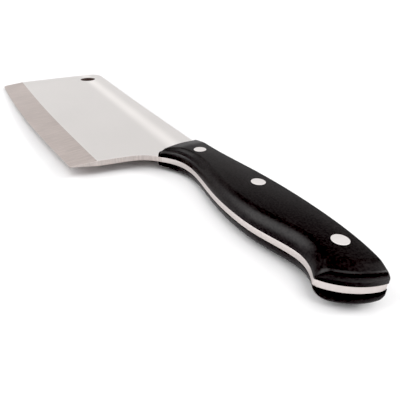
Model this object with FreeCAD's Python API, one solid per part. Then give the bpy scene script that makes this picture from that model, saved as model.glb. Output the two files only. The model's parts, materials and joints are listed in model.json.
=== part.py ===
import FreeCAD, Part
import math
import os

# Full-tang meat cleaver: one steel blade with its tang, two moulded handle scales and three
# two-piece cutler's rivets. It is drawn flat, blade mid-plane on z = 0, spine towards +Y, handle
# towards +X, and then laid down the way it lies on a table: on its toe and its handle.
# The origin of the finished part is the centre of its bounding box, on the table.
# Millimetres throughout.

V = FreeCAD.Vector

# Steel
STEEL_THICKNESS = 2.5
CUTTING_EDGE_THICKNESS = 0.3
HOLE_RADIUS = 5.5
HOLE_CENTRE = V(-184.8, -3.5)
SPINE_CORNER_RADIUS = 8.0
TOE_CORNER_RADIUS = 4.0
HEEL_CORNER_RADIUS = 0.8

# Handle
SCALE_TOP = 7.0
FRONT_THINNING = 0.9
THINNING_START_X = 30.0
THINNING_LENGTH = 44.0
THINNING_POWER = 1.5
CROWN = 0.3
CROWN_AT_SPINE = 0.2
BELLY_ROUNDING = 4.5
SPINE_ROUNDING = 1.9
FRONT_SLOPE_DROP = 1.25
FRONT_SLOPE_WIDTH = 8.0
FRONT_ROUNDING = 0.8
BUTT_SLOPE_DROP = 1.05
BUTT_SLOPE_WIDTH = 4.3
BUTT_ROUNDING = 1.8
TANG_CORNER_RADIUS = 1.2
SQUARE_END_HEIGHT = 2.0
SECTION_STATIONS = (-22, -14, -6, 2, 12, 26, 40, 54, 66, 76, 84, 102)

# Rivets
RIVETS = {"front": V(-1.1, 0.6), "middle": V(38.4, 4.4), "rear": V(80.8, 3.6)}
HEAD_RADIUS = 3.0
HEAD_DEPTH = 2.0
PIN_RADIUS = 1.5
SLEEVE_RADIUS = 2.25
PIN_CLEARANCE = 0.02
SLEEVE_CLEARANCE = 0.1
PIN_END_GAP = 0.4

# Plan outline, seen from above
SPINE_AT_TOE = V(-201.4, 9.7)
SPINE_AT_HANDLE = V(-16, 9)
SPINE = [SPINE_AT_TOE, V(-95, 8.6), SPINE_AT_HANDLE]
EDGE_AT_TOE = V(-195.2, -65.9)
HEEL = V(-22.9, -53.9)
CUTTING_EDGE = [EDGE_AT_TOE, V(-107, -62.4), HEEL]
BEVEL = [V(-197.5, -51.9), V(-102, -47.8), V(-20.9, -41.7)]
BEVEL_STATIONS = (-206, -150, -95, -50, -15)
TOE_MIDDLE = V(-199.4, -32)
BELLY = [
    HEEL, V(-21.2, -41), V(-20, -30), V(-17.9, -20.8), V(-12.9, -14.9), V(-6.3, -9.9),
    V(2.5, -7.5), V(16, -8.3), V(31, -10.5), V(43, -11.1), V(56, -10.2), V(69, -7.2),
    V(76, -6.4), V(81.5, -7.8), V(85.7, -10.4),
]
HANDLE_SPINE = [
    SPINE_AT_HANDLE, V(0, 8.9), V(15, 9.9), V(32, 11.6), V(48, 12.6), V(62, 12.6),
    V(78, 11.5), V(90, 9.3), V(97.1, 7.15),
]
BUTT = [BELLY[-1], V(93.05, -3.6), HANDLE_SPINE[-1]]
FRONT = [V(-12.2, -16.1), V(-16.3, -2.5), V(-17.4, 9)]

FAR = 60.0
PAST_EDGE = 1.5
END_OVERRUN = 3.0
SLOPE_SWEEP = 120
REST_LEVER = 240.0
REST_STEPS = 8
TOLERANCE = 0.05
HALF_STEEL = STEEL_THICKNESS / 2


def spline(points):
    """A smooth curve through the points."""
    curve = Part.BSplineCurve()
    curve.interpolate(points)
    return curve


def at_x(curve, x):
    """(y, dy/dx) of a curve whose x only grows, carried on straight past both its ends."""
    low, high = curve.FirstParameter, curve.LastParameter
    while high - low > 1e-8:
        middle = (low + high) / 2
        if curve.value(middle).x < x:
            low = middle
        else:
            high = middle
    point = curve.value(low)
    tangent = curve.tangent(low)[0]
    slope = tangent.y / tangent.x
    return point.y + slope * (x - point.x), slope


def upright_edges(solid, corners):
    """The solid's upright edges at the given corners."""
    found = []
    for edge in solid.Edges:
        foot, head = edge.Vertexes[0], edge.Vertexes[-1]
        upright = math.hypot(foot.X - head.X, foot.Y - head.Y) < TOLERANCE
        near = any(math.hypot(foot.X - c.x, foot.Y - c.y) < TOLERANCE for c in corners)
        if upright and near and edge.Length > TOLERANCE:
            found.append(edge)
    return found


def cylinder(centre, radius, bottom, top):
    return Part.makeCylinder(radius, top - bottom, V(centre.x, centre.y, bottom))


def steel_blank():
    """The blade and tang before grinding: the plan outline, as thick as the steel."""
    outline = Part.Wire([
        spline(CUTTING_EDGE).toShape(),
        spline(BELLY).toShape(),
        Part.Arc(*BUTT).toShape(),
        spline(HANDLE_SPINE[::-1]).toShape(),
        spline(SPINE[::-1]).toShape(),
        Part.Arc(SPINE_AT_TOE, TOE_MIDDLE, EDGE_AT_TOE).toShape(),
    ])
    blank = Part.Face(outline).extrude(V(0, 0, STEEL_THICKNESS))
    blank.translate(V(0, 0, -HALF_STEEL))
    blank = blank.makeFillet(SPINE_CORNER_RADIUS, upright_edges(blank, [SPINE_AT_TOE]))
    blank = blank.makeFillet(TOE_CORNER_RADIUS, upright_edges(blank, [EDGE_AT_TOE]))
    blank = blank.makeFillet(HEEL_CORNER_RADIUS, upright_edges(blank, [HEEL]))
    return blank.makeFillet(TANG_CORNER_RADIUS, upright_edges(blank, [BUTT[0], BUTT[2]]))


def bevel_cutter():
    """What is ground off the upper side, from the bevel line out past the cutting edge."""
    drop = HALF_STEEL - CUTTING_EDGE_THICKNESS / 2
    bevel, edge = spline(BEVEL), spline(CUTTING_EDGE)
    sections = []
    for x in BEVEL_STATIONS:
        bevel_y = at_x(bevel, x)[0]
        outer_y = bevel_y + (at_x(edge, x)[0] - bevel_y) * PAST_EDGE
        corners = [
            V(x, bevel_y, HALF_STEEL),
            V(x, outer_y, HALF_STEEL - drop * PAST_EDGE),
            V(x, outer_y, HALF_STEEL),
        ]
        sections.append(Part.makePolygon(corners + corners[:1]))
    return Part.makeLoft(sections, True, False)


def blade():
    """Blade and tang in one piece of steel, with the bevels, the hanging hole and rivet holes.

    Its flats are divided along the front of the scales, so the bare blade's are faces of their own.
    """
    cutter = bevel_cutter()
    steel = steel_blank().cut(cutter)
    steel = steel.cut(cutter.mirror(V(0, 0, 0), V(0, 0, 1)))
    steel = steel.cut(cylinder(HOLE_CENTRE, HOLE_RADIUS, -FAR, FAR))
    for centre in RIVETS.values():
        steel = steel.cut(cylinder(centre, SLEEVE_RADIUS + SLEEVE_CLEARANCE, -FAR, FAR))
    tang = steel.common(end_cutter(FRONT, V(3 * FAR, 0)))
    return steel.cut(tang).fuse(tang)


def scale_top(x):
    """How high the upper scale's face is above the blade's mid-plane: thinner at the front."""
    run = max(0.0, THINNING_START_X - x) / THINNING_LENGTH
    return SCALE_TOP - FRONT_THINNING * run**THINNING_POWER


def quarter_ellipse(start, corner, end):
    """A quarter ellipse from start to end, whose end tangents meet at the corner."""
    curve = Part.BezierCurve()
    curve.setPoles([start, corner, end])
    curve.setWeight(2, math.sqrt(0.5))
    return curve.toShape()


def handle_section(x, belly, spine):
    """The upper scale cut across at x: flat below, crowned on top, rounded at both sides."""
    belly_y, belly_slope = at_x(belly, x)
    spine_y, spine_slope = at_x(spine, x)
    top = scale_top(x)
    belly_in = belly_y + BELLY_ROUNDING * min(1.8, math.hypot(1, belly_slope))
    spine_in = spine_y - SPINE_ROUNDING * math.hypot(1, spine_slope)
    belly_top, spine_top = top - CROWN, top - CROWN - CROWN_AT_SPINE
    belly_foot, belly_head = V(x, belly_y, HALF_STEEL), V(x, belly_in, belly_top)
    spine_foot, spine_head = V(x, spine_y, HALF_STEEL), V(x, spine_in, spine_top)
    middle = V(x, (belly_y + spine_y) / 2, top)
    return Part.Wire([
        quarter_ellipse(belly_foot, V(x, belly_y, belly_top), belly_head),
        Part.Arc(belly_head, middle, spine_head).toShape(),
        quarter_ellipse(spine_head, V(x, spine_y, spine_top), spine_foot),
        Part.makeLine(spine_foot, belly_foot),
    ])


def end_arc(points):
    """The arc of one end of the handle in plan, run on a little past both its ends."""
    arc = Part.Arc(*points).toShape()
    overrun = END_OVERRUN / arc.Curve.Radius
    return Part.ArcOfCircle(arc.Curve, arc.FirstParameter - overrun, arc.LastParameter + overrun)


def end_cutter(points, away):
    """All that lies past one end of the handle: beyond its arc, on the side of away."""
    arc = end_arc(points)
    start, end = arc.StartPoint, arc.EndPoint
    along = (end - start).normalize() * FAR
    corners = [end, end + along, end + along + away, start - along + away, start - along, start]
    lines = [Part.makeLine(corners[i], corners[i + 1]) for i in range(len(corners) - 1)]
    cutter = Part.Face(Part.Wire([arc.toShape()] + lines)).extrude(V(0, 0, FAR))
    cutter.translate(V(0, 0, -FAR / 2))
    return cutter


def slope_cutter(points, drop, width):
    """What lies over the gentle slope that falls towards one end: part of a cone round its arc."""
    arc = end_arc(points)
    radius, centre = arc.Radius, arc.Center
    outward = points[1] - centre
    top = scale_top(points[1].x - math.copysign(width, outward.x))
    profile = [
        V(radius - 2 * width, 0, top + drop),
        V(radius + width, 0, top - 2 * drop),
        V(radius + width, 0, FAR),
        V(radius - 2 * width, 0, FAR),
    ]
    face = Part.Face(Part.makePolygon(profile + profile[:1]))
    middle_turn = math.degrees(math.atan2(outward.y, outward.x))
    face.rotate(V(), V(0, 0, 1), middle_turn - SLOPE_SWEEP / 2)
    face.translate(V(centre.x, centre.y, 0))
    return face.revolve(centre, V(0, 0, 1), SLOPE_SWEEP)


def end_edges(solid, points):
    """The edges round one end face of the upper scale, without those along its foot."""
    arc = end_arc(points).toShape()
    found = []
    for edge in solid.Edges:
        middle = edge.discretize(3)[1]
        off_arc = Part.Vertex(middle.x, middle.y, 0).distToShape(arc)[0]
        if off_arc < TOLERANCE and middle.z > HALF_STEEL + SQUARE_END_HEIGHT:
            found.append(edge)
    return found


def scale_body():
    """The upper scale's outside: a section run along the tang, its ends sloped and rounded."""
    belly, spine = spline(BELLY[4:]), spline(HANDLE_SPINE)
    body = Part.makeLoft([handle_section(x, belly, spine) for x in SECTION_STATIONS], True, False)
    body = body.cut(slope_cutter(FRONT, FRONT_SLOPE_DROP, FRONT_SLOPE_WIDTH))
    body = body.cut(slope_cutter(BUTT, BUTT_SLOPE_DROP, BUTT_SLOPE_WIDTH))
    body = body.cut(end_cutter(FRONT, V(-FAR, 0)))
    body = body.cut(end_cutter(BUTT, V(FAR, 0)))
    body = body.makeFillet(FRONT_ROUNDING, end_edges(body, FRONT))
    return body.makeFillet(BUTT_ROUNDING, end_edges(body, BUTT))


def turned_over(shape):
    """The same shape for the other side of the blade."""
    return shape.mirror(V(0, 0, 0), V(0, 0, 1))


def scale(body):
    """The upper scale, with a counterbored hole for each rivet."""
    for centre in RIVETS.values():
        seat = scale_top(centre.x) - HEAD_DEPTH
        body = body.cut(cylinder(centre, HEAD_RADIUS, seat, FAR))
        body = body.cut(cylinder(centre, SLEEVE_RADIUS + SLEEVE_CLEARANCE, 0, FAR))
    return body


def rivet_head(centre, body):
    """The flush head of one rivet half, finished to the scale's own face."""
    seat = scale_top(centre.x) - HEAD_DEPTH
    return cylinder(centre, HEAD_RADIUS, seat, FAR).common(body)


def rivet_pin(centre, body):
    """The upper rivet half: a head and the solid pin that is pressed into the sleeve."""
    seat = scale_top(centre.x) - HEAD_DEPTH
    pin = cylinder(centre, PIN_RADIUS - PIN_CLEARANCE, PIN_END_GAP - seat, seat)
    return rivet_head(centre, body).fuse(pin)


def rivet_sleeve(centre, body):
    """The lower rivet half: a head and the sleeve that goes up through the tang."""
    seat = scale_top(centre.x) - HEAD_DEPTH
    sleeve = cylinder(centre, SLEEVE_RADIUS, -seat, seat)
    bore = cylinder(centre, PIN_RADIUS, -seat, seat)
    return turned_over(rivet_head(centre, body)).fuse(sleeve.cut(bore))


def lowest(shape, turn):
    return shape.transformed(turn.toMatrix()).optimalBoundingBox(False).ZMin


def rest_placement(pieces):
    """Tips the toe down until blade and handle touch one plane, then sets that on z = 0."""
    steel = pieces["blade"]
    handle = Part.makeCompound([shape for name, shape in pieces.items() if name != "blade"])
    angle = 0.0
    for _ in range(REST_STEPS):
        turn = FreeCAD.Placement(V(), FreeCAD.Rotation(V(0, 1, 0), angle))
        gap = lowest(steel, turn) - lowest(handle, turn)
        angle -= math.degrees(gap / REST_LEVER)
    turned = Part.makeCompound([steel, handle]).transformed(turn.toMatrix())
    box = turned.optimalBoundingBox(False)
    return FreeCAD.Placement(V(-box.Center.x, -box.Center.y, -box.ZMin), turn.Rotation)


def parts():
    """Every piece by name, as drawn."""
    body = scale_body()
    pieces = {"blade": blade(), "handle_scale_upper": scale(body)}
    pieces["handle_scale_lower"] = turned_over(pieces["handle_scale_upper"])
    for name, centre in RIVETS.items():
        pieces["rivet_pin_" + name] = rivet_pin(centre, body)
        pieces["rivet_sleeve_" + name] = rivet_sleeve(centre, body)
    return pieces


def main():
    pieces = parts()
    placement = rest_placement(pieces)
    os.makedirs("parts", exist_ok=True)
    for name, shape in pieces.items():
        placed = shape.Solids[0].transformed(placement.toMatrix())
        placed.exportStep("parts/" + name + ".step")
        print(name, round(placed.Volume, 1), placed.isValid(), len(shape.Solids))
    print("placement", placement)


main()
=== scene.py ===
import json
import math

import bmesh
import bpy
import numpy as np
from mathutils import Matrix, Vector
from mathutils.geometry import delaunay_2d_cdt


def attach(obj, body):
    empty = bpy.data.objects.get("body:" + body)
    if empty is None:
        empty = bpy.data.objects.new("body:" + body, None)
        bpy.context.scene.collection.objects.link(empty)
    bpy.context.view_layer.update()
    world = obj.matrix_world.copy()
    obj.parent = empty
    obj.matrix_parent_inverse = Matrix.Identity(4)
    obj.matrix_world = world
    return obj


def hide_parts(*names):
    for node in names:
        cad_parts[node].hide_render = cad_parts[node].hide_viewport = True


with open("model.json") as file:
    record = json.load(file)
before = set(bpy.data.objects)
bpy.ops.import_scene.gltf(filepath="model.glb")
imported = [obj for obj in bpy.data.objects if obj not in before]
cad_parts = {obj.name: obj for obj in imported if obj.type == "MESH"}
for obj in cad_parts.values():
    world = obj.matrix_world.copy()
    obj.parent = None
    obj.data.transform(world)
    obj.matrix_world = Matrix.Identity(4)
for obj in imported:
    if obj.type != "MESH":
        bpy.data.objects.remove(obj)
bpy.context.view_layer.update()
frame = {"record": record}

# The pieces are drawn as the CAD part is: in millimetres, with the blade's mid-plane on z = 0, the
# spine towards +Y and the handle towards +X. PLACEMENT takes them to where the CAD part lies.
MM = 0.001
HALF_STEEL = 1.25
HALF_CUTTING_EDGE = 0.15

# Plan outline, smooth through the same points as the CAD part's
SPINE = [(-201.4, 9.7), (-95, 8.6), (-16, 9)]
TOE = [(-201.4, 9.7), (-199.4, -32), (-195.2, -65.9)]
CUTTING_EDGE = [(-195.2, -65.9), (-107, -62.4), (-22.9, -53.9)]
BEVEL = [(-197.5, -51.9), (-102, -47.8), (-20.9, -41.7)]
BELLY = [
    (-22.9, -53.9), (-21.2, -41), (-20, -30), (-17.9, -20.8), (-12.9, -14.9), (-6.3, -9.9),
    (2.5, -7.5), (16, -8.3), (31, -10.5), (43, -11.1), (56, -10.2), (69, -7.2),
    (76, -6.4), (81.5, -7.8), (85.7, -10.4),
]
HANDLE_SPINE = [
    (-16, 9), (0, 8.9), (15, 9.9), (32, 11.6), (48, 12.6), (62, 12.6), (78, 11.5), (90, 9.3),
    (97.1, 7.15),
]
BUTT = [(85.7, -10.4), (93.05, -3.6), (97.1, 7.15)]
FRONT = [(-12.2, -16.1), (-16.3, -2.5), (-17.4, 9.0)]
HOLE_CENTRE = Vector((-184.8, -3.5, 0.0))
HOLE_RADIUS = 5.5
RIVETS = {"front": (-1.1, 0.6), "middle": (38.4, 4.4), "rear": (80.8, 3.6)}

# The steel's edges and corners
SPINE_CORNER_RADIUS = 8.0
TOE_CORNER_RADIUS = 4.0
HEEL_CORNER_RADIUS = 0.8
TANG_CORNER_RADIUS = 1.2
EDGE_SOFTNESS = 0.12
HOLE_SOFTNESS = 0.25
TANG_START_X = -12.0

# The handle's section: a crowned face, thinner at the front, between rounded sides
SCALE_TOP = 7.0
FRONT_THINNING = 0.9
THINNING_START_X = 30.0
THINNING_LENGTH = 44.0
BELLY_ROUNDING = 4.5
SPINE_ROUNDING = 1.9
FRONT_ROUNDING = 0.85
BUTT_ROUNDING = 1.2
CROWN = 0.6
SCALE_CORNER_RADIUS = 0.8

# A low step runs along the belly at the front of the handle and fades out behind it
STEP_HEIGHT = 3.3
STEP_ROUNDING = 1.1
STEP_RISE = (1.7, 4.6)
STEP_FADE = (0, 24)

# Gentle slopes towards the two ends of the handle
FRONT_SLOPE_DROP = 1.25
FRONT_SLOPE_WIDTH = 8.0
BUTT_SLOPE_DROP = 1.35
BUTT_SLOPE_WIDTH = 4.5
SLOPE_BEND = 0.22

# Rivets: a head with a softened rim, on a pin or a sleeve that is drawn as (radius, height) rings,
# where a height of None is the underside of the head. The shanks are out of sight, and are a little
# shorter here than the CAD part's. The scales and the tang are drawn without the rivets' holes.
HEAD_RADIUS = 3.0
HEAD_DEPTH = 2.0
HEAD_PROUD = 0.06
RIM_START = 2.62
RIM_DROP = 0.28
HEAD_RINGS = (0.7, 1.4, 2.0, 2.4, RIM_START, 2.8, 2.91, 2.97, HEAD_RADIUS)
AROUND = 48
PIN = [(1.48, None), (1.48, -3.6), (0.0, -3.6)]
SLEEVE = [(2.25, None), (2.25, -3.0), (1.5, -3.0), (1.5, None), (0.0, None)]

# The steel's materials, in the order of the blade's material slots
FLAT, GROUND_BEVEL, GROUND_EDGE, HOLE_WALL, TANG_EDGE = range(5)
GRAIN_TURN = 0.06
# A band along the blade's face near the spine: a little rougher, and painted paler as a highlight where
# the face changes slope
HIGHLIGHT_BAND_Y = -2.3 * MM
HIGHLIGHT_BAND_REACH = 6.4 * MM
HIGHLIGHT_BAND_ROUGHER = 0.045
HIGHLIGHT_BAND_PALER = 1.16

# Floor: half its width, and the centre of a pool of light painted into its colour round the handle's
# end
FLOOR_REACH = 6.0
PAINTED_LIGHT_SPOT = (0.15, -0.02, 0.0)

# How bright the studio is at each height over the horizon, as (sine of the height, brightness)
STUDIO_HEIGHTS = [(0.03, 0.78), (0.16, 0.48), (0.58, 0.53), (0.90, 0.72)]
STUDIO_STRENGTH = 1.5

# Soft lights, as (name, azimuth, elevation, angle filled, strength), with the angles in degrees
LIGHTS = [("key", 68, 36, 18, 0.9), ("side", -115, 32, 54, 1.7), ("front", -20, 62, 30, 0.75)]

# Camera: its place in drawing millimetres, its azimuth, elevation and roll in degrees, and its
# lens and sensor width in millimetres
CAMERA_PLACE = Vector((143.723, -79.144, 74.454))
CAMERA_TURNS = (61.085, 29.790, 0.629)
CAMERA_LENS = 35.026
CAMERA_SENSOR = 36.0

# The display shows tones up to this one as black
BLACK_LEVEL = 0.064


# ---------------------------------------------------------------- curves in plan
def spline(points, count):
    """Samples of the smooth curve through the points: a natural cubic spline over chord length."""
    points = np.array(points, float)
    knots = np.r_[0, np.cumsum(np.linalg.norm(np.diff(points, axis=0), axis=1))]
    gaps = np.diff(knots)
    system, rhs = np.eye(len(points)), np.zeros_like(points)
    slopes = np.diff(points, axis=0) / gaps[:, None]
    for i in range(1, len(points) - 1):
        system[i, i - 1 : i + 2] = gaps[i - 1], 2 * (gaps[i - 1] + gaps[i]), gaps[i]
        rhs[i] = 6 * (slopes[i] - slopes[i - 1])
    bend = np.linalg.solve(system, rhs)
    at = np.linspace(0, knots[-1], count)
    span = np.clip(np.searchsorted(knots, at, side="right") - 1, 0, len(points) - 2)
    gap = gaps[span][:, None]
    after = (at - knots[span])[:, None] / gap
    before = 1 - after
    straight = points[span] * before + points[span + 1] * after
    curved = bend[span] * (before**3 - before) + bend[span + 1] * (after**3 - after)
    return straight + curved * gap**2 / 6


def arc(points, count, overrun=0.0):
    """Samples of the arc through three points, run on past both ends by overrun millimetres."""
    (ax, ay), (bx, by), (cx, cy) = points
    matrix = np.array([[bx - ax, by - ay], [cx - ax, cy - ay]]) * 2
    right = [bx**2 - ax**2 + by**2 - ay**2, cx**2 - ax**2 + cy**2 - ay**2]
    centre = np.linalg.solve(matrix, right)
    radius = math.hypot(ax - centre[0], ay - centre[1])
    turns = np.unwrap([math.atan2(y - centre[1], x - centre[0]) for x, y in points])
    extra = math.copysign(overrun / radius, turns[2] - turns[0])
    angles = np.linspace(turns[0] - extra, turns[2] + extra, count)
    return centre + radius * np.c_[np.cos(angles), np.sin(angles)]


def resampled(line, shares):
    """Points of a polyline at the given shares of its length."""
    along = np.r_[0, np.cumsum(np.linalg.norm(np.diff(line, axis=0), axis=1))]
    at = np.clip(shares, 0, 1) * along[-1]
    return np.c_[np.interp(at, along, line[:, 0]), np.interp(at, along, line[:, 1])]


def extended(line, reach):
    """A polyline carried straight on past both its ends."""
    first, last = line[0] - line[1], line[-1] - line[-2]
    first, last = first / np.linalg.norm(first), last / np.linalg.norm(last)
    return np.vstack([line[0] + first * reach, line, line[-1] + last * reach])


def distance(points, line):
    """Each point's distance to a polyline."""
    starts, runs = line[:-1], np.diff(line, axis=0)
    lengths = (runs**2).sum(1)
    best = np.full(len(points), 1e9)
    for start, run, length in zip(starts, runs, lengths):
        share = np.clip((points - start) @ run / length, 0, 1)
        best = np.minimum(best, np.linalg.norm(points - start - share[:, None] * run, axis=1))
    return best


# ---------------------------------------------------------------- where things lie
def frame_placement():
    """Takes the drawing to the shared frame: the stated mount gives the hole's place and tilt."""
    hole = next(m for m in frame["record"]["mounts"] if m["name"] == "hanging_hole")
    turn = Vector((0, 0, 1)).rotation_difference(Vector(hole["axis"])).to_matrix()
    shift = Vector(hole["pos_m"]) - turn @ (HOLE_CENTRE * MM)
    return Matrix.Translation(shift) @ turn.to_4x4()


PLACEMENT = frame_placement()


def piece(name, vertices, faces, smooth, materials, node, face_materials=None):
    """A mesh piece from vertices in drawing millimetres. It stands for one CAD node."""
    mesh = bpy.data.meshes.new(name)
    mesh.from_pydata([tuple(float(c) * MM for c in v) for v in vertices], [], faces)
    for material in materials:
        mesh.materials.append(material)
    mesh.polygons.foreach_set("use_smooth", smooth)
    if face_materials is not None:
        mesh.polygons.foreach_set("material_index", face_materials)
    body = bmesh.new()
    body.from_mesh(mesh)
    bmesh.ops.remove_doubles(body, verts=body.verts, dist=2e-7)
    bmesh.ops.recalc_face_normals(body, faces=body.faces)
    body.to_mesh(mesh)
    body.free()
    made = bpy.data.objects.new(name, mesh)
    bpy.context.collection.objects.link(made)
    made.matrix_world = PLACEMENT
    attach(made, "root")
    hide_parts(node)
    return made


# ---------------------------------------------------------------- the handle's shape
BELLY_LINE = spline(BELLY, 600)
SPINE_LINE = np.vstack([spline(SPINE, 200)[:-1], spline(HANDLE_SPINE, 300)])
FRONT_LINE = arc(FRONT, 90)
BUTT_LINE = arc(BUTT, 90)


def eased(x, reach):
    """x where it is positive and 0 where it is negative, with a smooth bend in between."""
    near = (x + reach) ** 2 / (4 * reach)
    return np.where(x > reach, x, np.where(x < -reach, 0.0, near))


def rounded_side(inside, reach):
    """Share of the full height on a rounded side, at a distance inside the outline."""
    return np.sqrt(1 - np.clip(1 - inside / reach, 0, 1) ** 2)


def smooth_step(x, start, end):
    """0 before start, 1 after end, an S curve in between."""
    share = np.clip((x - start) / (end - start), 0, 1)
    return share**2 * (3 - 2 * share)


def end_fillet(inside, radius):
    """How far a rounded edge falls below its face, at a distance inside the end."""
    out = np.clip(1 - inside / radius, 0, 1)
    return radius * (1 - np.sqrt(1 - out**2))


def belly_side(x, inside, depth):
    """Share of the full height along the belly: stepped at the front, plainly rounded behind."""
    stepped = STEP_HEIGHT * rounded_side(inside, STEP_ROUNDING) / depth
    stepped = stepped + (1 - STEP_HEIGHT / depth) * smooth_step(inside, *STEP_RISE)
    plain = smooth_step(x, *STEP_FADE)
    return stepped + (rounded_side(inside, BELLY_ROUNDING) - stepped) * plain


def end_fall(inside, drop, width, rounding):
    """How far the face falls towards an end: a gentle slope, then a rounded edge."""
    return drop * eased(1 - inside / width, SLOPE_BEND) + end_fillet(inside, rounding)


def scale_height(points):
    """Height of the upper scale's face over the blade's mid-plane at points in plan."""
    points = np.asarray(points, float)
    from_belly = distance(points, BELLY_LINE)
    from_spine = distance(points, SPINE_LINE)
    from_front = distance(points, extended(FRONT_LINE, 5))
    from_butt = distance(points, extended(BUTT_LINE, 5))
    thinning = eased(THINNING_START_X - points[:, 0], 1.0) / THINNING_LENGTH
    across = (from_belly - from_spine) / np.maximum(from_belly + from_spine, 1e-6)
    depth = SCALE_TOP - FRONT_THINNING * thinning**1.5 - CROWN * across**2 - HALF_STEEL
    sides = belly_side(points[:, 0], from_belly, depth) * rounded_side(from_spine, SPINE_ROUNDING)
    front = end_fall(from_front, FRONT_SLOPE_DROP, FRONT_SLOPE_WIDTH, FRONT_ROUNDING)
    butt = end_fall(from_butt, BUTT_SLOPE_DROP, BUTT_SLOPE_WIDTH, BUTT_ROUNDING)
    return HALF_STEEL + depth * sides * (1 - front / depth) * (1 - butt / depth)


def handle_sides():
    """The four sides of the handle in plan: belly, spine, front, butt."""
    start = np.argmin(np.linalg.norm(BELLY_LINE - FRONT_LINE[0], axis=1))
    belly = BELLY_LINE[start:]
    start = np.argmin(np.linalg.norm(SPINE_LINE - FRONT_LINE[-1], axis=1))
    spine = SPINE_LINE[start:]
    front = arc([tuple(belly[0]), FRONT[1], tuple(spine[0])], 90)
    return belly, spine, front, BUTT_LINE


def handle_grid(along, across):
    """Plan points inside the handle, closer together towards all four sides (a Coons patch)."""
    belly, spine, front, butt = handle_sides()
    s = (1 - np.cos(np.linspace(0, math.pi, along))) / 2
    t = (1 - np.cos(np.linspace(0, math.pi, across))) / 2
    low, high = resampled(belly, s)[:, None], resampled(spine, s)[:, None]
    left, right = resampled(front, t)[None], resampled(butt, t)[None]
    s, t = s[:, None, None], t[None, :, None]
    ruled = (1 - t) * low + t * high + (1 - s) * left + s * right
    corners = (1 - s) * ((1 - t) * low[0, 0] + t * high[0, 0])
    return ruled - corners - s * ((1 - t) * low[-1, 0] + t * high[-1, 0])


def corner_rounded(points, corner, one_way, other_way, radius):
    """Draws the points beyond a round corner in to it. The corner lies between two directions."""
    half = math.acos(one_way @ other_way) / 2
    middle = one_way + other_way
    centre = corner + middle / np.linalg.norm(middle) * radius / math.sin(half)
    reach = radius / math.tan(half)
    touches = [(corner + way * reach - centre) / radius for way in (one_way, other_way)]
    away = points - centre
    lengths = np.maximum(np.linalg.norm(away, axis=1), 1e-9)
    turns = [np.arccos(np.clip(away @ touch / lengths, -1, 1)) for touch in touches]
    wedge = math.pi - 2 * half
    share = np.where(turns[0] + turns[1] < wedge + 1e-6, np.cos(np.minimum(*turns)), 1.0)
    return centre + away * share[:, None]


def butt_corners_rounded(points):
    """Rounds the two corners in plan where the butt meets the belly and the spine."""
    belly, spine, _, butt = handle_sides()
    for side, end in ((belly, butt), (spine, butt[::-1])):
        # the directions of both sides, taken over three samples
        ways = [point - side[-1] for point in (side[-4], end[3])]
        one_way, other_way = [way / np.linalg.norm(way) for way in ways]
        points = corner_rounded(points, side[-1], one_way, other_way, SCALE_CORNER_RADIUS)
    return points


def scale_quads(along, across):
    """Quads of a scale: its face, its flat back, and the walls round all four sides."""
    count = along * across
    numbers = np.arange(count).reshape(along, across)
    quads, smooth = [], []
    for i in range(along - 1):
        for j in range(across - 1):
            a, b = i * across + j, (i + 1) * across + j
            quads += [(a, b, b + 1, a + 1), (a + count, a + 1 + count, b + 1 + count, b + count)]
            smooth += [True, False]
    for side in (numbers[0], numbers[-1], numbers[:, 0], numbers[:, -1]):
        for a, b in zip(side[:-1].tolist(), side[1:].tolist()):
            quads.append((a, b, b + count, a + count))
            smooth.append(True)
    return quads, smooth


def handle_scale(name, side, node, material):
    """One moulded scale: crowned face, rounded sides, upright ends, flat against the tang."""
    along, across = 200, 72
    grid = butt_corners_rounded(handle_grid(along, across).reshape(-1, 2))
    face = np.c_[grid, side * scale_height(grid)]
    foot = np.c_[grid, np.full(len(grid), side * HALF_STEEL)]
    quads, smooth = scale_quads(along, across)
    return piece(name, np.vstack([face, foot]), quads, smooth, [material], node)


# ---------------------------------------------------------------- the rivets' shape
def circle(count):
    """Points round a unit circle."""
    angles = np.arange(count) * 2 * math.pi / count
    return np.c_[np.cos(angles), np.sin(angles)]


def ring_quads(first, second, count):
    """Quads between two closed rings of vertices that start at the given numbers."""
    ring = range(count)
    return [(first + i, first + (i + 1) % count, second + (i + 1) % count, second + i) for i in ring]


def turned(rings):
    """Vertices and quads of a turned shape: each ring is (radius, height or heights round it)."""
    vertices = []
    for radius, height in rings:
        heights = np.broadcast_to(height, AROUND)
        vertices += [(radius * x, radius * y, z) for (x, y), z in zip(circle(AROUND), heights)]
    quads = []
    for ring in range(len(rings) - 1):
        quads += ring_quads(ring * AROUND, (ring + 1) * AROUND, AROUND)
    return np.array(vertices), quads


def rivet_half(name, centre, side, shank, node, material):
    """One rivet half: a faintly domed flush head with a softened rim, on its pin or sleeve."""
    centre = np.array(centre)
    rings = [(0.0, float(scale_height([centre])[0]) + HEAD_PROUD)]
    for radius in HEAD_RINGS:
        rim = max(0.0, (radius - RIM_START) / (HEAD_RADIUS - RIM_START))
        proud = HEAD_PROUD - RIM_DROP * (1 - math.sqrt(1 - rim**2))
        rings.append((radius, scale_height(centre + circle(AROUND) * radius) + proud))
    seat = rings[0][1] - HEAD_DEPTH
    rings.append((HEAD_RADIUS, seat))
    rings += [(radius, height if height is not None else seat) for radius, height in shank]
    vertices, quads = turned(rings)
    vertices = vertices * [1, 1, side] + [centre[0], centre[1], 0]
    return piece(name, vertices, quads, [True] * len(quads), [material], node)


# ---------------------------------------------------------------- the blade's shape
TOE_LINE = arc(TOE, 40)
EDGE_LINE = spline(CUTTING_EDGE, 90)
BEVEL_LINE = spline(BEVEL, 90)


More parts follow.
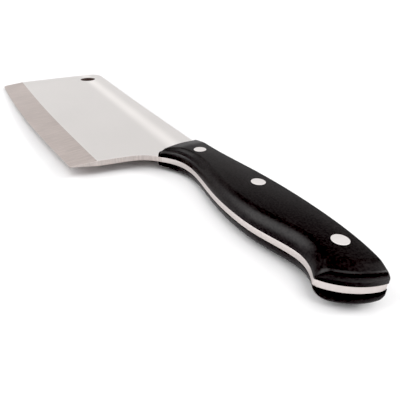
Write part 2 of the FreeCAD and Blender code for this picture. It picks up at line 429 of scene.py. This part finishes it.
def rounded_corner(before, after, radius):
    """Replaces the corner where two lines meet by an arc. Returns both lines cut back and the arc."""
    corner = before[-1]
    # the lines' directions, taken over seven samples
    back = before[-8] - corner
    on = after[7] - corner
    back, on = back / np.linalg.norm(back), on / np.linalg.norm(on)
    half = math.acos(np.clip(back @ on, -1, 1)) / 2
    reach = radius / math.tan(half)
    middle = corner + (back + on) / np.linalg.norm(back + on) * radius / math.sin(half)
    start, end = corner + back * reach, corner + on * reach
    first = math.atan2(*(start - middle)[::-1])
    turn = (math.atan2(*(end - middle)[::-1]) - first + math.pi) % (2 * math.pi) - math.pi
    angles = first + turn * np.linspace(0, 1, 9)
    bend = middle + radius * np.c_[np.cos(angles), np.sin(angles)]
    kept_before = before[np.linalg.norm(before - corner, axis=1) > reach]
    kept_after = after[np.linalg.norm(after - corner, axis=1) > reach]
    return kept_before, bend, kept_after


def steel_outline():
    """The steel's closed outline in plan, counterclockwise, with its corners rounded."""
    # each line, and the radius of the corner at its end
    lines = [
        (EDGE_LINE, HEEL_CORNER_RADIUS),
        (spline(BELLY, 260), TANG_CORNER_RADIUS),
        (arc(BUTT, 24), TANG_CORNER_RADIUS),
        (spline(HANDLE_SPINE, 60)[::-1], None),
        (spline(SPINE, 60)[::-1], SPINE_CORNER_RADIUS),
        (TOE_LINE, TOE_CORNER_RADIUS),
    ]
    kept = [line for line, _ in lines]
    bends = []
    for i, (_, radius) in enumerate(lines):
        following = (i + 1) % len(lines)
        if radius is None:
            bends.append(np.empty((0, 2)))
            kept[i] = kept[i][:-1]
            continue
        kept[i], bend, kept[following] = rounded_corner(kept[i], kept[following], radius)
        bends.append(bend)
    return np.vstack([part for pair in zip(kept, bends) for part in pair])


def inset(loop, reach):
    """A closed counterclockwise loop moved inwards."""
    along = np.roll(loop, -1, axis=0) - np.roll(loop, 1, axis=0)
    along = along / np.linalg.norm(along, axis=1)[:, None]
    return loop + reach * np.c_[-along[:, 1], along[:, 0]]


def half_thickness(points):
    """Half the steel's thickness at points in plan: full above the bevel line, thin at the edge."""
    bevel = extended(BEVEL_LINE, 20)
    edge = extended(EDGE_LINE, 20)
    bevel_y = np.interp(points[:, 0], bevel[:, 0], bevel[:, 1])
    edge_y = np.interp(points[:, 0], edge[:, 0], edge[:, 1])
    share = np.clip((bevel_y - points[:, 1]) / (bevel_y - edge_y), 0, 1)
    return HALF_STEEL - (HALF_STEEL - HALF_CUTTING_EDGE) * share


def inside(points, loop):
    """Which points lie inside a closed loop."""
    ends = np.roll(loop, -1, axis=0)
    found = np.zeros(len(points), bool)
    for (ax, ay), (bx, by) in zip(loop, ends):
        if ay != by:
            crosses = (ay > points[:, 1]) != (by > points[:, 1])
            found ^= crosses & (points[:, 0] < ax + (bx - ax) * (points[:, 1] - ay) / (by - ay))
    return found


def flat_side(loop, hole):
    """Triangles that fill one side of the steel inside the loop, divided along the bevel line."""
    bevel = extended(BEVEL_LINE, 6)
    points = np.vstack([loop, hole, bevel])
    edges, start = [], 0
    for line, closed in ((loop, True), (hole, True), (bevel, False)):
        count = len(line)
        runs = count if closed else count - 1
        edges += [(start + i, start + (i + 1) % count) for i in range(runs)]
        start += count
    filled = delaunay_2d_cdt([Vector(p) for p in points], edges, [], 0, 1e-7)
    points, triangles = np.array([tuple(v) for v in filled[0]]), np.array(filled[2])
    middles = points[triangles].mean(axis=1)
    keep = inside(middles, loop) & ~inside(middles, hole)
    return points, triangles[keep], middles[keep]


def edge_rings(loop, softness):
    """The rings of one softened edge of the steel, from its upper flat round to its lower one."""
    rings = []
    for turn in np.linspace(0, math.pi / 2, 4):
        drop = np.minimum(softness, half_thickness(loop) * 0.45) * (1 - math.cos(turn))
        ring = inset(loop, softness * (1 - math.sin(turn)))
        rings.append((ring, half_thickness(ring) - drop))
    return rings + [(ring, -height) for ring, height in rings[::-1]]


def steel_edges(outline, hole):
    """Vertices, quads and material numbers of the edges round the steel and in its hole."""
    vertices, quads, kinds = [], [], []
    edges = ((outline, EDGE_SOFTNESS, GROUND_EDGE), (hole, HOLE_SOFTNESS, HOLE_WALL))
    for loop, softness, kind in edges:
        for k, (ring, height) in enumerate(edge_rings(loop, softness)):
            if k:
                quads += ring_quads(len(vertices) - len(loop), len(vertices), len(loop))
                on_tang = (ring[:, 0] > TANG_START_X) & (kind == GROUND_EDGE)
                kinds += [TANG_EDGE if tang else kind for tang in on_tang]
            vertices += [(x, y, z) for (x, y), z in zip(ring, height)]
    return vertices, quads, kinds


def steel_blade(name, node, materials):
    """Blade and tang: flats, ground bevels, and every edge very slightly softened."""
    outline = steel_outline()
    hole = np.array(HOLE_CENTRE[:2]) + HOLE_RADIUS * circle(64) * [1, -1]
    vertices, faces, kinds = steel_edges(outline, hole)
    rim, hole_rim = inset(outline, EDGE_SOFTNESS), inset(hole, HOLE_SOFTNESS)
    points, triangles, middles = flat_side(rim, hole_rim)
    bevel = extended(BEVEL_LINE, 20)
    ground = middles[:, 1] < np.interp(middles[:, 0], bevel[:, 0], bevel[:, 1])
    for side in (1, -1):
        start = len(vertices)
        vertices += [(x, y, side * z) for (x, y), z in zip(points, half_thickness(points))]
        faces += [tuple(int(v) + start for v in triangle[::side]) for triangle in triangles]
        kinds += [GROUND_BEVEL if is_ground else FLAT for is_ground in ground]
    smooth = [kind in (GROUND_EDGE, HOLE_WALL, TANG_EDGE) for kind in kinds]
    return piece(name, vertices, faces, smooth, materials, node, kinds)


# ---------------------------------------------------------------- materials
class Nodes:
    """A material's node tree, with short calls for the nodes used here."""

    def __init__(self, name, **settings):
        self.material = bpy.data.materials.new(name)
        self.material.use_nodes = True
        self.tree = self.material.node_tree
        self.shader = self.tree.nodes["Principled BSDF"]
        self.place = self.tree.nodes.new("ShaderNodeTexCoord").outputs["Object"]
        for socket, value in settings.items():
            self.shader.inputs[socket.replace("_", " ")].default_value = value

    def link(self, source, target):
        self.tree.links.new(source, target)

    def scaled(self, scale, turn=0.0):
        """Object coordinates turned about Z and scaled: large numbers make fine detail."""
        mapping = self.tree.nodes.new("ShaderNodeMapping")
        mapping.inputs["Scale"].default_value = scale
        mapping.inputs["Rotation"].default_value = (0, 0, turn)
        self.link(self.place, mapping.inputs["Vector"])
        return mapping.outputs["Vector"]

    def noise(self, vector, scale, detail=3.0, roughness=0.5):
        """Soft noise from 0 to 1 over the given coordinates."""
        node = self.tree.nodes.new("ShaderNodeTexNoise")
        node.inputs["Scale"].default_value = scale
        node.inputs["Detail"].default_value = detail
        node.inputs["Roughness"].default_value = roughness
        self.link(vector, node.inputs["Vector"])
        return node.outputs["Fac"]

    def ranged(self, value, low, high, to_low, to_high):
        """A value taken from the range low to high to the range to_low to to_high."""
        node = self.tree.nodes.new("ShaderNodeMapRange")
        ends = {"From Min": low, "From Max": high, "To Min": to_low, "To Max": to_high}
        for socket, number in ends.items():
            node.inputs[socket].default_value = number
        self.link(value, node.inputs["Value"])
        return node.outputs["Result"]

    def tinted(self, value, low, high):
        """A mix of two colours, each a list of three numbers or another node's output."""
        node = self.tree.nodes.new("ShaderNodeMix")
        node.data_type = "RGBA"
        for socket, color in zip(node.inputs[6:8], (low, high)):
            if isinstance(color, (list, tuple)):
                socket.default_value = (*color, 1)
            else:
                self.link(color, socket)
        self.link(value, node.inputs[0])
        return node.outputs[2]

    def strip_along(self, middle, reach):
        """1 along a line of constant Y, falling smoothly to 0 at reach from it."""
        parts = self.tree.nodes.new("ShaderNodeSeparateXYZ")
        self.link(self.place, parts.inputs[0])
        off = self.calculated("SUBTRACT", parts.outputs["Y"], middle)
        near = self.ranged(self.calculated("ABSOLUTE", off, 0.0), 0.0, reach, 1.0, 0.0)
        near.node.interpolation_type = "SMOOTHSTEP"
        return near

    def calculated(self, operation, first, second):
        """The result of one sum, where each side is a number or another node's output."""
        node = self.tree.nodes.new("ShaderNodeMath")
        node.operation = operation
        for socket, value in zip(node.inputs, (first, second)):
            if isinstance(value, (int, float)):
                socket.default_value = value
            else:
                self.link(value, socket)
        return node.outputs[0]

    def bumped(self, height, distance, strength, after=None):
        """The surface direction over fine relief, laid over earlier relief if there is any."""
        node = self.tree.nodes.new("ShaderNodeBump")
        node.inputs["Distance"].default_value = distance
        node.inputs["Strength"].default_value = strength
        self.link(height, node.inputs["Height"])
        if after is not None:
            self.link(after, node.inputs["Normal"])
        return node.outputs["Normal"]


def steel_material(name, color, roughness, grain, variation, depth=1.0, painted_highlight_band=False):
    """Satin steel: fine grain lines one way, a cloudy sheen and a few longer scratches.

    grain is the number of grain lines to a metre along each axis, and depth how deep they are.
    """
    nodes = Nodes(name, Metallic=1.0)
    lines = nodes.noise(nodes.scaled(grain, GRAIN_TURN), 1.0, 4.0, 0.6)
    scratches = nodes.noise(nodes.scaled([g * 0.35 for g in grain], -GRAIN_TURN), 1.0, 2.0, 0.5)
    clouds = nodes.noise(nodes.place, 28.0, 2.0, 0.5)
    rough = nodes.calculated("ADD", nodes.ranged(lines, 0.3, 0.7, -0.03, 0.03), roughness)
    rough = nodes.calculated("ADD", rough, nodes.ranged(clouds, 0.3, 0.7, -0.02, 0.02))
    tone = nodes.calculated("ADD", lines, nodes.calculated("MULTIPLY", clouds, 0.4))
    darker = [c * (1 - variation) for c in color]
    tint = nodes.tinted(nodes.ranged(tone, 0.45, 0.95, 0, 1), darker, color)
    # painted highlight: a paler band along the blade that stands for the light caught where the face
    # changes slope; it is also a little rougher
    if painted_highlight_band:
        highlight_band = nodes.strip_along(HIGHLIGHT_BAND_Y, HIGHLIGHT_BAND_REACH)
        rougher = nodes.calculated("MULTIPLY", highlight_band, HIGHLIGHT_BAND_ROUGHER)
        rough = nodes.calculated("ADD", rough, rougher)
        tint = nodes.tinted(highlight_band, tint, [min(1.0, c * HIGHLIGHT_BAND_PALER) for c in color])
    nodes.link(rough, nodes.shader.inputs["Roughness"])
    nodes.link(tint, nodes.shader.inputs["Base Color"])
    normal = nodes.bumped(lines, 0.00001, 0.25 * depth)
    nodes.link(nodes.bumped(scratches, 0.00001, 0.08 * depth, normal), nodes.shader.inputs["Normal"])
    return nodes.material


def flat_steel():
    """The blade's bright flat, ground along its length, with a highlight painted along it near the
    spine.
    """
    color, grain = [0.85, 0.818, 0.800], (60, 2600, 2600)
    return steel_material("blade_satin", color, 0.38, grain, 0.02, depth=0.3, painted_highlight_band=True)


def bevel_steel():
    """The ground bevel, with its grain across the edge."""
    color, grain = [0.67, 0.597, 0.568], (1500, 60, 1500)
    return steel_material("blade_bevel", color, 0.45, grain, 0.24, depth=1.6)


def ground_edge_steel():
    """The edges round the blade, coarsely ground."""
    color, grain = [0.61, 0.555, 0.530], (1400, 1400, 120)
    return steel_material("blade_ground_edge", color, 0.40, grain, 0.30, depth=1.6)


def tang_edge_steel():
    """The tang's edge between the scales, more finely finished."""
    color, grain = [0.635, 0.588, 0.572], (900, 900, 90)
    return steel_material("tang_edge_satin", color, 0.40, grain, 0.08)


def rivet_steel():
    """The rivets' bright steel."""
    color, grain = [0.93, 0.885, 0.870], (1200, 120, 1200)
    return steel_material("rivet_satin", color, 0.39, grain, 0.03, depth=0.3)


def hole_steel():
    """The hole's rough wall, dark brown in patches."""
    nodes = Nodes("hole_wall_dark", Metallic=0.3)
    patches = nodes.noise(nodes.place, 900.0, 3.0, 0.6)
    tint = nodes.tinted(patches, (0.100, 0.083, 0.079), (0.155, 0.130, 0.124))
    nodes.link(tint, nodes.shader.inputs["Base Color"])
    nodes.link(nodes.ranged(patches, 0.3, 0.7, 0.55, 0.75), nodes.shader.inputs["Roughness"])
    nodes.link(nodes.bumped(patches, 0.00003, 0.4), nodes.shader.inputs["Normal"])
    return nodes.material


def plastic_material():
    """Black moulded plastic: fine moulded texture, faint flow marks and handling wear."""
    nodes = Nodes("handle_black", IOR=1.5)
    texture = nodes.noise(nodes.place, 2600.0, 2.0, 0.5)
    flow = nodes.noise(nodes.scaled((30, 120, 120)), 1.0, 3.0, 0.5)
    wear = nodes.noise(nodes.place, 90.0, 4.0, 0.6)
    grain = nodes.noise(nodes.place, 1300.0, 3.0, 0.7)
    flow_rough = nodes.ranged(flow, 0.3, 0.7, 0.38, 0.44)
    wear_rough = nodes.ranged(wear, 0.35, 0.7, -0.02, 0.03)
    nodes.link(nodes.calculated("ADD", flow_rough, wear_rough), nodes.shader.inputs["Roughness"])
    wear_tint = nodes.ranged(wear, 0.4, 0.7, 0, 0.3)
    grain_tint = nodes.ranged(grain, 0.38, 0.62, 0, 0.7)
    mottle = nodes.calculated("ADD", wear_tint, grain_tint)
    color = nodes.tinted(mottle, (0.0030, 0.0021, 0.0023), (0.0165, 0.0136, 0.0138))
    nodes.link(color, nodes.shader.inputs["Base Color"])
    nodes.link(nodes.bumped(texture, 0.00001, 0.15), nodes.shader.inputs["Normal"])
    return nodes.material


def floor_material():
    """Pale matt table top, with a pool of light painted round the handle's end that makes it paler
    there than far away.
    """
    nodes = Nodes("studio_floor", Roughness=0.9, Specular_IOR_Level=0.1)
    away = nodes.tree.nodes.new("ShaderNodeVectorMath")
    away.operation = "DISTANCE"
    away.inputs[1].default_value = PAINTED_LIGHT_SPOT
    nodes.link(nodes.place, away.inputs[0])
    speckle = nodes.noise(nodes.place, 60.0, 2.0, 0.5)
    # painted light: the colour is paler near the handle's end, which washes out the shadow there
    near = nodes.ranged(away.outputs["Value"], 0.02, 0.18, 0.90, 0)
    painted_light_and_speckle = nodes.calculated("ADD", near, nodes.ranged(speckle, 0, 1, 0, 0.10))
    tint = nodes.tinted(painted_light_and_speckle, (0.690, 0.685, 0.689), (0.865, 0.860, 0.865))
    nodes.link(tint, nodes.shader.inputs["Base Color"])
    return nodes.material


# ---------------------------------------------------------------- studio
def floor():
    """The table top that the cleaver lies on."""
    mesh = bpy.data.meshes.new("floor")
    corners = [(x * FLOOR_REACH, y * FLOOR_REACH, 0) for x, y in ((-1, -1), (1, -1), (1, 1), (-1, 1))]
    mesh.from_pydata(corners, [], [(0, 1, 2, 3)])
    mesh.materials.append(floor_material())
    made = bpy.data.objects.new("floor", mesh)
    bpy.context.collection.objects.link(made)


def soft_light(name, azimuth, elevation, spread, strength):
    """A large far softbox: the direction it lights from and the angle it fills, in degrees."""
    data = bpy.data.lights.new(name, "SUN")
    data.angle = math.radians(spread)
    data.energy = strength
    made = bpy.data.objects.new(name, data)
    bpy.context.collection.objects.link(made)
    turn, rise = math.radians(azimuth), math.radians(elevation)
    towards = Vector((math.cos(rise) * math.cos(turn), math.cos(rise) * math.sin(turn), math.sin(rise)))
    made.rotation_euler = towards.to_track_quat("Z", "Y").to_euler()


def surroundings():
    """A studio with a white ceiling and greyer walls that turn pale again at the horizon."""
    world = bpy.data.worlds.new("studio")
    world.use_nodes = True
    tree = world.node_tree
    place = tree.nodes.new("ShaderNodeTexCoord")
    split = tree.nodes.new("ShaderNodeSeparateXYZ")
    ramp = tree.nodes.new("ShaderNodeValToRGB")
    ramp.color_ramp.interpolation = "EASE"
    stops = ramp.color_ramp.elements
    # a new ramp has two stops already
    for _ in STUDIO_HEIGHTS[2:]:
        stops.new(0.5)
    for stop, (height, brightness) in zip(stops, STUDIO_HEIGHTS):
        stop.position = height
        stop.color = (brightness, brightness, brightness, 1)
    tree.links.new(place.outputs["Generated"], split.inputs[0])
    tree.links.new(split.outputs["Z"], ramp.inputs["Fac"])
    tree.links.new(ramp.outputs["Color"], tree.nodes["Background"].inputs["Color"])
    tree.nodes["Background"].inputs["Strength"].default_value = STUDIO_STRENGTH
    bpy.context.scene.world = world


def camera():
    """Looks down on the cleaver from behind its handle."""
    azimuth, elevation, roll = (math.radians(a) for a in CAMERA_TURNS)
    back = Vector((
        math.sin(azimuth) * math.cos(elevation),
        -math.cos(azimuth) * math.cos(elevation),
        math.sin(elevation),
    ))
    right = Vector((math.cos(azimuth), math.sin(azimuth), 0))
    turn = Matrix((right, back.cross(right), back)).transposed() @ Matrix.Rotation(roll, 3, "Z")
    data = bpy.data.cameras.new("camera")
    data.sensor_width = CAMERA_SENSOR
    data.lens = CAMERA_LENS
    data.clip_start = 0.01
    made = bpy.data.objects.new("camera", data)
    bpy.context.collection.objects.link(made)
    stand = Matrix.Translation(CAMERA_PLACE * MM)
    made.matrix_world = PLACEMENT @ stand @ turn.to_4x4()
    bpy.context.scene.camera = made


def display():
    """Shows the picture with plain colours and a print-like black point."""
    settings = bpy.context.scene.view_settings
    settings.view_transform = "Standard"
    settings.use_curve_mapping = True
    settings.curve_mapping.black_level = (BLACK_LEVEL, BLACK_LEVEL, BLACK_LEVEL)
    settings.curve_mapping.update()


def cleaver():
    """The nine pieces, each standing for one CAD node."""
    steels = [flat_steel(), bevel_steel(), ground_edge_steel(), hole_steel(), tang_edge_steel()]
    steel_blade("blade_steelwork", "blade", steels)
    plastic = plastic_material()
    handle_scale("scale_upper", 1, "handle_scale_upper", plastic)
    handle_scale("scale_lower", -1, "handle_scale_lower", plastic)
    rivet = rivet_steel()
    for place, centre in RIVETS.items():
        rivet_half("rivet_head_upper_" + place, centre, 1, PIN, "rivet_pin_" + place, rivet)
        rivet_half("rivet_head_lower_" + place, centre, -1, SLEEVE, "rivet_sleeve_" + place, rivet)


def main():
    """The cleaver on its table in the studio."""
    cleaver()
    floor()
    surroundings()
    for light in LIGHTS:
        soft_light(*light)
    camera()
    display()


main()
